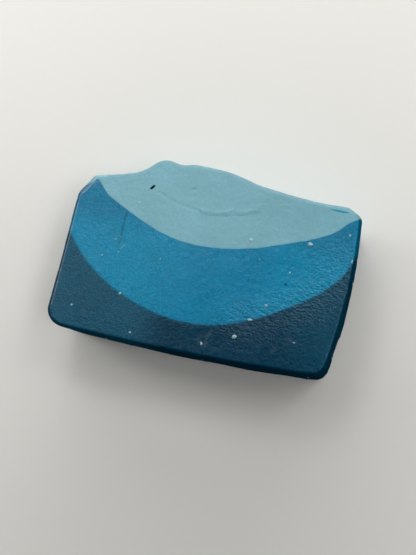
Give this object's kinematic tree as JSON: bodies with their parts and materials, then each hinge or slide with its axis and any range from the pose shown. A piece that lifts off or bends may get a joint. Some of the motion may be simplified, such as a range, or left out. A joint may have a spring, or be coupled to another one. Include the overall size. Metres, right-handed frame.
{
  "type": "clay bar",
  "caption": "Hand-sized bar of soft clay in bonded blue layers with bowl-shaped seams, flat cut faces and an uneven poured crest along one long side.",
  "frame": {"origin": "middle of the footprint's bounding box, on the broad back face that the bar lies on", "axes": "+X along the bar's length, +Y across its height towards the poured crest, +Z through its thickness, out of the upper cut face"},
  "size_m": [0.088, 0.0569, 0.025],
  "materials": {
    "dark_clay": "satin, finely pored, with scattered pale specks",
    "middle_clay": "satin, finely pored, with scattered pale specks",
    "pale_clay": "satin, smoother than the darker layers"
  },
  "bodies": {
    "root": {"dark_layer": "dark_clay", "middle_layer": "middle_clay", "pale_layer": "pale_clay"}
  },
  "joints": []
}
